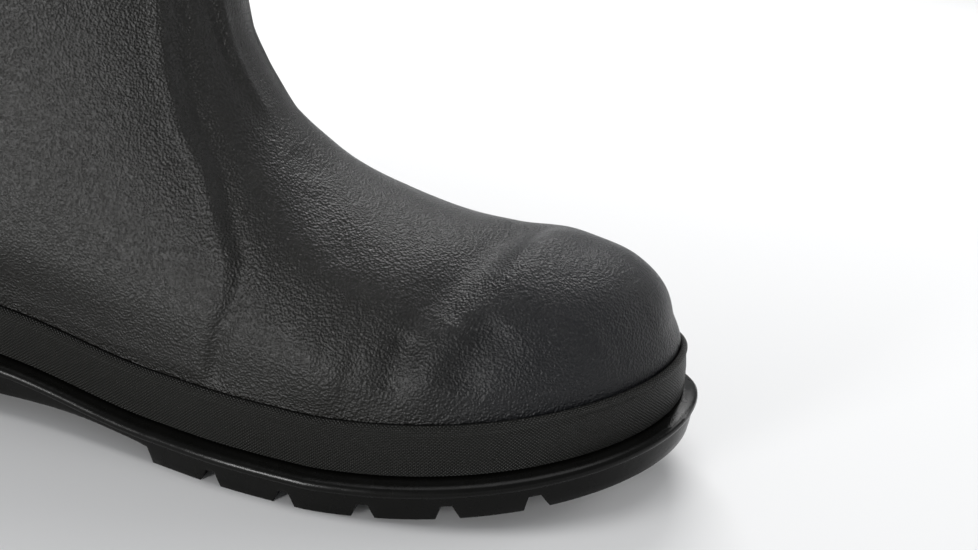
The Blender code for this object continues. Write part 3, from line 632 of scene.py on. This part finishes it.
def near_line(points, line):
    """Distance of each point to a line of straight runs, and its share along it."""
    best = np.full(points.shape[:-1], 1.0)
    share = np.zeros(points.shape[:-1])
    line = np.array(line) / 1000
    for k in range(len(line) - 1):
        run = line[k + 1] - line[k]
        t = np.clip(((points - line[k]) @ run) / (run @ run), 0.0, 1.0)
        away = np.linalg.norm(points - (line[k] + t[..., None] * run), axis=-1)
        share = np.where(away < best, (k + t) / (len(line) - 1), share)
        best = np.minimum(best, away)
    return best, share


def overlay_distance(x, z):
    """Distance behind the ankle overlay's front edge."""
    ups = np.array([up for up, ahead in OVERLAY_EDGE]) * INSTEP_HEIGHT
    aheads = np.array([ahead for up, ahead in OVERLAY_EDGE]) * LENGTH
    edge = smooth_curve(ups, aheads, z)
    lean = (smooth_curve(ups, aheads, z + 0.001) - smooth_curve(ups, aheads, z - 0.001)) / 0.002
    return (edge - x) / np.sqrt(1 + lean * lean)


def wall_relief(grid, from_centre):
    """Height of the raised parts and folds over the base surface."""
    x, y, z = grid[..., 0], grid[..., 1], grid[..., 2]
    behind = overlay_distance(x, z)
    high = ease((OVERLAY_TOP - z) / 0.002 + 0.5)
    relief = OVERLAY_STEP * ease(behind / 0.0040 + 0.4) * high
    rim = ease((z - 0.62 * INSTEP_HEIGHT) / (0.30 * INSTEP_HEIGHT))
    relief += OVERLAY_RIM * rim * high * np.exp(-((behind - 0.0018) / 0.0025) ** 2)
    relief -= OVERLAY_TROUGH * high * np.exp(-((behind + 0.0024) / 0.0027) ** 2)
    relief -= ANKLE_HOLLOW * rim * high * np.exp(-((behind + 0.0080) / 0.0060) ** 2)
    start = ease((z - 0.94 * INSTEP_HEIGHT) / (0.26 * INSTEP_HEIGHT))
    strip = SHIN_STRIP_WIDTH / 2
    relief += start * STRIP_STEP * ease((strip - from_centre) / 0.0030 + 0.5)
    relief += start * STRIP_RIDGE * np.exp(-((from_centre - strip + 0.0014) / 0.0020) ** 2)
    relief -= start * STRIP_TROUGH * np.exp(-((from_centre - strip - 0.0026) / 0.0028) ** 2)
    for name, height, width, line in FOLDS:
        away, share = near_line(grid, line)
        taper = ease(share / 0.22) * ease((1 - share) / 0.22)
        relief += height / 1000 * np.exp(-(away / (width / 1000)) ** 2) * (0.25 + 0.75 * taper)
    above_band = ease((z - platform(x) - BAND_HEIGHT) / 0.006)
    return above_band * relief


def drop_loose(piece, merge=0.0):
    """Delete vertices that no face uses and, where asked, merge those that lie together."""
    cleaned = bmesh.new()
    cleaned.from_mesh(piece.data)
    bmesh.ops.delete(cleaned, geom=[v for v in cleaned.verts if not v.link_faces], context="VERTS")
    if merge:
        bmesh.ops.remove_doubles(cleaned, verts=cleaned.verts, dist=merge)
    cleaned.to_mesh(piece.data)
    cleaned.free()


# Rows of the skin: fine over the foot, every other one up the shaft, fine again at the collar
places = even_places(ROW_STEP)
top = len(FOOT_SECTIONS) + len(SHAFT_SECTIONS) - 1
above_ankle = len(FOOT_SECTIONS) + 3.0
fine_collar = np.linspace(top - COLLAR_SPAN, top, COLLAR_ROWS)
shaft = (places > above_ankle) & (places < top - COLLAR_SPAN - 0.01)
places = np.concatenate([places[places <= above_ankle], places[shaft][::2], fine_collar])
grid = wall_grid(places, HALF_COLUMNS)
closed = places >= LAST_FOOT
normals = wall_normals(grid, closed)
middle_column = grid.shape[1] // 2
steps = np.linalg.norm(np.diff(grid, axis=1), axis=2)
run = np.concatenate([np.zeros((len(grid), 1)), np.cumsum(steps, axis=1)], axis=1)
from_centre = np.abs(run - run[:, middle_column:middle_column + 1])
relief = wall_relief(grid, from_centre)
below_top = grid[-1, :, 2][None, :] - grid[..., 2]
bead = ease(1 - np.abs(below_top / COLLAR_BEAD_HEIGHT - 0.5) / 0.5) ** 0.5
relief += COLLAR_BEAD_DEPTH * np.where(below_top < COLLAR_BEAD_HEIGHT, bead, 0.0)
foot_rows = (~closed) | (places == LAST_FOOT)
relief[foot_rows, 0] = 0.0
relief[foot_rows, -1] = 0.0
relief[0] = 0.0
outer_skin = grid + normals * relief[..., None]

rows, columns = grid.shape[:2]
lip_in = grid[-1] - normals[-1] * WALL * 0.5 + np.array((0.0, 0.0, 0.0004))
lip_in_low = grid[-1] - normals[-1] * WALL
lip_down = lip_in_low - np.array((0.0, 0.0, LIP_TURN))
skin = np.concatenate([outer_skin, [lip_in, lip_in_low, lip_down]])
faces = []
for i in range(len(skin) - 1):
    joined = i >= rows or closed[i]
    joined_next = i + 1 >= rows or closed[i + 1]
    for j in range(columns - 1):
        a = i * columns + (0 if joined and j == 0 else j)
        b = i * columns + (0 if joined and j + 1 == columns - 1 else j + 1)
        c = (i + 1) * columns + (0 if joined_next and j + 1 == columns - 1 else j + 1)
        d = (i + 1) * columns + j
        if i == 0:
            faces.append((0, c, d))
        else:
            faces.append((a, b, c, d))
upper = skin_mesh("upper_rubber", skin.reshape(-1, 3), faces, 60)
drop_loose(upper)

# Satin black rubber with the same pebbled grain all over, its tone a little bluer towards the toe
upper_material, tree, shader, where = rubber_shader("upper_rubber", (0.006, 0.006, 0.0065, 1), 0.38, 0.32)
split = add_node(tree, "ShaderNodeSeparateXYZ", (-1300, 400))
tree.links.new(where, split.inputs["Vector"])
toeward = add_node(tree, "ShaderNodeMapRange", (-1100, 400), interpolation_type="SMOOTHSTEP")
toeward.inputs["From Min"].default_value = 0.055
toeward.inputs["From Max"].default_value = 0.120
tree.links.new(split.outputs["X"], toeward.inputs["Value"])
wander = add_node(tree, "ShaderNodeTexNoise", (-1300, -100), Scale=60.0, Detail=2.0)
tree.links.new(where, wander.inputs["Vector"])
bent = add_node(tree, "ShaderNodeVectorMath", (-1100, -50), operation="MULTIPLY_ADD")
bent.inputs[1].default_value = (0.0012, 0.0012, 0.0012)
tree.links.new(wander.outputs["Color"], bent.inputs[0])
tree.links.new(where, bent.inputs[2])
pebble = add_node(tree, "ShaderNodeTexVoronoi", (-900, 0), feature="SMOOTH_F1", Scale=1350.0, Smoothness=0.6)
tree.links.new(bent.outputs["Vector"], pebble.inputs["Vector"])
grain = add_node(tree, "ShaderNodeTexNoise", (-900, -300), Scale=2000.0, Detail=4.0, Roughness=0.62)
tree.links.new(bent.outputs["Vector"], grain.inputs["Vector"])
lumps = add_node(tree, "ShaderNodeTexNoise", (-900, -550), Scale=260.0, Detail=3.0, Roughness=0.55)
tree.links.new(where, lumps.inputs["Vector"])
clouds = add_node(tree, "ShaderNodeTexNoise", (-900, 300), Scale=22.0, Detail=4.0, Roughness=0.6)
tree.links.new(where, clouds.inputs["Vector"])
tree.links.new(remap(tree, clouds.outputs["Fac"], 0.28, 0.44, (-500, 250)), shader.inputs["Roughness"])
tone = add_node(tree, "ShaderNodeMix", (-500, 500), data_type="RGBA")
tone.inputs["A"].default_value = (0.0066, 0.0063, 0.0054, 1)
tone.inputs["B"].default_value = (0.0060, 0.0063, 0.0075, 1)
tree.links.new(toeward.outputs["Result"], tone.inputs["Factor"])
tree.links.new(tone.outputs["Result"], shader.inputs["Base Color"])
first = bump(tree, lumps.outputs["Fac"], 0.25, 0.0005, (-650, -500))
second = bump(tree, pebble.outputs["Distance"], 0.85, 0.00045, (-450, -250), first)
third = bump(tree, grain.outputs["Fac"], 0.70, 0.00035, (-250, -250), second)
tree.links.new(third, shader.inputs["Normal"])
upper.data.materials.append(upper_material)
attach(upper, "root")
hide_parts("upper")


# Lining: grey knitted fabric, cut to the boot's shape and bonded to the inside of the rubber.
# It is seen down the shaft and ends a little below the collar, under the turned-in lip.

LINING_STEP = 0.0045
LINING_COLUMNS = 50
LINING_DROP = 0.0025

lining_places = even_places(LINING_STEP)
lining_grid = wall_grid(lining_places, LINING_COLUMNS)
lining_closed = lining_places >= LAST_FOOT
lining_inside = lining_grid - wall_normals(lining_grid, lining_closed) * (WALL - 0.0001)
lining_inside[0] = lining_grid[0] - np.array((WALL, 0.0, 0.0))
lining_rows, lining_columns = lining_grid.shape[:2]
faces = []
for i in range(1, lining_rows - 1):
    for j in range(lining_columns - 1):
        a = i * lining_columns + j
        faces.append((a, a + lining_columns, a + lining_columns + 1, a + 1))
lining_inside[..., 2] = np.minimum(lining_inside[..., 2], lining_inside[-1, :, 2][None, :] - LINING_DROP)
lining = skin_mesh("lining_fabric", lining_inside.reshape(-1, 3), faces, 60)
drop_loose(lining, 0.00002)


def cloth_shader(name, colour, scale):
    """Matt knitted cloth with a fine cross weave."""
    material = bpy.data.materials.new(name)
    material.use_nodes = True
    tree = material.node_tree
    shader = tree.nodes["Principled BSDF"]
    shader.inputs["Base Color"].default_value = colour
    shader.inputs["Roughness"].default_value = 0.92
    shader.inputs["Specular IOR Level"].default_value = 0.2
    where = add_node(tree, "ShaderNodeTexCoord", (-1200, 0))
    height = None
    for k, turn in enumerate((math.radians(45), math.radians(-45))):
        turned = add_node(tree, "ShaderNodeMapping", (-1000, -250 * k))
        turned.inputs["Rotation"].default_value = (turn, turn, 0.0)
        tree.links.new(where.outputs["Object"], turned.inputs["Vector"])
        wave = add_node(tree, "ShaderNodeTexWave", (-800, -250 * k), Scale=scale, Distortion=1.5, Detail=1.0)
        wave.inputs["Detail Scale"].default_value = 4.0
        tree.links.new(turned.outputs["Vector"], wave.inputs["Vector"])
        if height is None:
            height = wave.outputs["Fac"]
        else:
            both = add_node(tree, "ShaderNodeMath", (-600, -100), operation="MAXIMUM")
            tree.links.new(height, both.inputs[0])
            tree.links.new(wave.outputs["Fac"], both.inputs[1])
            height = both.outputs["Value"]
    fuzz = add_node(tree, "ShaderNodeTexNoise", (-800, -550), Scale=900.0, Detail=4.0)
    tree.links.new(where.outputs["Object"], fuzz.inputs["Vector"])
    shade = add_node(tree, "ShaderNodeMix", (-350, 200), data_type="RGBA")
    shade.inputs["A"].default_value = tuple(c * 0.6 for c in colour[:3]) + (1,)
    shade.inputs["B"].default_value = tuple(c * 1.3 for c in colour[:3]) + (1,)
    tree.links.new(fuzz.outputs["Fac"], shade.inputs["Factor"])
    tree.links.new(shade.outputs["Result"], shader.inputs["Base Color"])
    first = bump(tree, height, 0.5, 0.0004, (-400, -200))
    tree.links.new(bump(tree, fuzz.outputs["Fac"], 0.4, 0.0003, (-200, -300), first), shader.inputs["Normal"])
    return material


lining.data.materials.append(cloth_shader("lining_cloth", (0.055, 0.055, 0.058, 1), 420.0))
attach(lining, "root")


# Insole: a sock of grey pressed felt, cut to the inside of the upper and laid loose on the
# sole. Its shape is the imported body's own; only the felt is put on here.

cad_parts["insole"].data.materials.clear()
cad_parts["insole"].data.materials.append(cloth_shader("insole_felt", (0.090, 0.088, 0.084, 1), 300.0))


# Foxing band: a strip of rubber knurled all over in fine diamonds, with a rounded bead along
# its top edge, wrapped around the foot of the upper and vulcanised to it and to the sole.

# Outer profile: how far it is set in behind the sole's edge, and its height over the platform
BAND = (
    # name, inset, up
    ("foot", 0.0049, 0.0000),
    ("heel of the roll", 0.0046, 0.0006),
    ("low", 0.0047, 0.0040),
    ("middle", 0.0049, 0.0075),
    ("high", 0.0053, 0.0106),
    ("groove lip", 0.0055, 0.0121),
    ("groove", 0.0056, 0.0125),
    ("bead foot", 0.0055, 0.0129),
    ("bead low", 0.0053, 0.0134),
    ("bead crown", 0.0054, 0.0141),
    ("bead high", 0.0058, 0.0148),
    ("bead top", 0.0064, 0.0153),
    ("bead back", 0.0070, 0.0154),
    ("crack", 0.0073, 0.0151),
    ("crack foot", 0.0074, 0.0138),
)
BAND_TOE_STEPS = 90
BAND_HEEL_STEPS = 56
KNURL_PITCH = 0.00112
KNURL_LEAN = 1.15

band_waist = np.linspace(BALL_X, ROUND_X, BAND_TOE_STEPS)[:-1]
band_verts = []
for name, inset, up in BAND:
    loop = outline_loop(inset, BAND_TOE_STEPS, band_waist, BAND_HEEL_STEPS)
    band_verts.append(np.column_stack([loop, platform(loop[:, 0]) + CLEARANCE + up]))
guide = band_verts[0]
run = np.concatenate([[0.0], np.cumsum(np.linalg.norm(np.diff(guide, axis=0), axis=1))])
count = len(guide)
faces = ring_faces(len(BAND), count)
band = skin_mesh("foxing_rubber", np.concatenate(band_verts), faces, 70)
profile = np.array([(inset, up) for name, inset, up in BAND])
climb = np.concatenate([[0.0], np.cumsum(np.hypot(np.diff(profile[:, 0]), np.diff(profile[:, 1])))])
total = run[-1] + float(np.linalg.norm(guide[0] - guide[-1]))
uv = band.data.uv_layers.new(name="strip")
for polygon in band.data.polygons:
    indices = [band.data.loops[k].vertex_index for k in polygon.loop_indices]
    wraps = any(v % count == count - 1 for v in indices)
    for k, vertex in zip(polygon.loop_indices, indices):
        along = run[vertex % count]
        if wraps and vertex % count == 0:
            along = total
        uv.data[k].uv = (along, climb[vertex // count])

# The knurl is two sets of slanting waves multiplied; its tops are painted paler as a painted highlight and
# its grooves darker as painted shade
band_material, tree, shader, where = rubber_shader("band_rubber", (0.0045, 0.0045, 0.0038, 1), 0.40, 0.24)
strip = add_node(tree, "ShaderNodeUVMap", (-1500, -400), uv_map="strip")
split = add_node(tree, "ShaderNodeSeparateXYZ", (-1300, -400))
tree.links.new(strip.outputs["UV"], split.inputs["Vector"])
ridges = None
for k, lean in enumerate((1.0, -1.0)):
    slant = add_node(tree, "ShaderNodeMath", (-1100, -300 - 250 * k), operation="MULTIPLY_ADD")
    slant.inputs[1].default_value = lean * KNURL_LEAN
    tree.links.new(split.outputs["Y"], slant.inputs[0])
    tree.links.new(split.outputs["X"], slant.inputs[2])
    turns = add_node(tree, "ShaderNodeMath", (-950, -300 - 250 * k), operation="MULTIPLY")
    turns.inputs[1].default_value = math.pi / KNURL_PITCH
    tree.links.new(slant.outputs["Value"], turns.inputs[0])
    wave = add_node(tree, "ShaderNodeMath", (-800, -300 - 250 * k), operation="SINE")
    tree.links.new(turns.outputs["Value"], wave.inputs[0])
    flat = add_node(tree, "ShaderNodeMath", (-650, -300 - 250 * k), operation="ABSOLUTE")
    tree.links.new(wave.outputs["Value"], flat.inputs[0])
    if ridges is None:
        ridges = flat.outputs["Value"]
    else:
        both = add_node(tree, "ShaderNodeMath", (-500, -400), operation="MULTIPLY")
        tree.links.new(ridges, both.inputs[0])
        tree.links.new(flat.outputs["Value"], both.inputs[1])
        ridges = both.outputs["Value"]
worn = add_node(tree, "ShaderNodeTexNoise", (-900, 200), Scale=70.0, Detail=4.0, Roughness=0.6)
tree.links.new(where, worn.inputs["Vector"])
speck = add_node(tree, "ShaderNodeTexNoise", (-900, 500), Scale=1600.0, Detail=3.0)
tree.links.new(where, speck.inputs["Vector"])
tree.links.new(remap(tree, worn.outputs["Fac"], 0.32, 0.50, (-500, 200)), shader.inputs["Roughness"])
# Painted highlight on the knurl's tops and painted shade in its grooves, mixed into the base colour
knurl_painted_light = add_node(tree, "ShaderNodeMix", (-350, 450), data_type="RGBA")
knurl_painted_light.inputs["A"].default_value = (0.0022, 0.0022, 0.0018, 1)
knurl_painted_light.inputs["B"].default_value = (0.0150, 0.0150, 0.0130, 1)
tree.links.new(ridges, knurl_painted_light.inputs["Factor"])
tree.links.new(knurl_painted_light.outputs["Result"], shader.inputs["Base Color"])
first = bump(tree, ridges, 1.0, 0.00030, (-350, -400))
tree.links.new(bump(tree, speck.outputs["Fac"], 0.3, 0.0001, (-150, -300), first), shader.inputs["Normal"])
band.data.materials.append(band_material)
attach(band, "root")
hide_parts("foxing_band")


# Studio: a plain pale floor under soft light, and the camera at the height of a table.

bpy.ops.mesh.primitive_plane_add(size=12.0, location=(0.0, 0.0, 0.0))
floor = bpy.context.active_object
floor.name = "studio_floor"
floor_material = bpy.data.materials.new("studio_floor")
floor_material.use_nodes = True
floor_shader = floor_material.node_tree.nodes["Principled BSDF"]
floor_shader.inputs["Base Color"].default_value = (0.86, 0.86, 0.86, 1)
floor_shader.inputs["Roughness"].default_value = 0.8
floor_shader.inputs["Specular IOR Level"].default_value = 0.2
floor.data.materials.append(floor_material)

world = bpy.data.worlds.new("studio")
bpy.context.scene.world = world
world.use_nodes = True
world.node_tree.nodes["Background"].inputs["Color"].default_value = (0.95, 0.97, 1.0, 1)
world.node_tree.nodes["Background"].inputs["Strength"].default_value = 0.32
bpy.context.scene.view_settings.view_transform = "Standard"


def soft_light(name, place, target, size, power):
    """A rectangular soft box that looks at a point of the boot."""
    light = bpy.data.lights.new(name, "AREA")
    light.shape = "RECTANGLE"
    light.size, light.size_y = size
    light.energy = power
    lamp = bpy.data.objects.new(name, light)
    lamp.location = place
    lamp.rotation_euler = (Vector(target) - Vector(place)).to_track_quat("-Z", "Y").to_euler()
    bpy.context.scene.collection.objects.link(lamp)


soft_light("rear_box", (-0.10, 0.95, 0.92), (0.04, 0.0, 0.08), (0.75, 0.35), 10.0)
soft_light("toe_box", (1.05, 0.55, 0.55), (0.10, 0.0, 0.06), (0.5, 0.35), 3.5)
soft_light("front_box", (-0.46, -0.95, 0.13), (0.02, -0.04, 0.06), (0.26, 0.22), 11.0)
soft_light("ceiling_box", (0.0, -0.10, 2.60), (0.0, 0.0, 0.0), (1.6, 1.2), 17.0)

# The camera stands low beside the toe, turned a little about its own line of sight
CAMERA_PLACE = (0.15259, -0.34694, 0.20769)
AZIMUTH = 11.0
ELEVATION = 23.1
ROLL = 4.9
LENS = 46.64
camera_data = bpy.data.cameras.new("camera")
camera_data.lens = LENS
camera_data.sensor_width = 36.0
camera_data.clip_start = 0.01
camera = bpy.data.objects.new("camera", camera_data)
bpy.context.scene.collection.objects.link(camera)
azimuth, elevation, roll = math.radians(AZIMUTH), math.radians(ELEVATION), math.radians(ROLL)
back = Vector((math.sin(azimuth) * math.cos(elevation), -math.cos(azimuth) * math.cos(elevation),
               math.sin(elevation)))
right = (-back).cross(Vector((0.0, 0.0, 1.0))).normalized()
up = right.cross(-back)
turned_right = right * math.cos(roll) + up * math.sin(roll)
turned_up = -right * math.sin(roll) + up * math.cos(roll)
camera.matrix_world = Matrix((
    (turned_right.x, turned_up.x, back.x, CAMERA_PLACE[0]),
    (turned_right.y, turned_up.y, back.y, CAMERA_PLACE[1]),
    (turned_right.z, turned_up.z, back.z, CAMERA_PLACE[2]),
    (0.0, 0.0, 0.0, 1.0),
))
bpy.context.scene.camera = camera
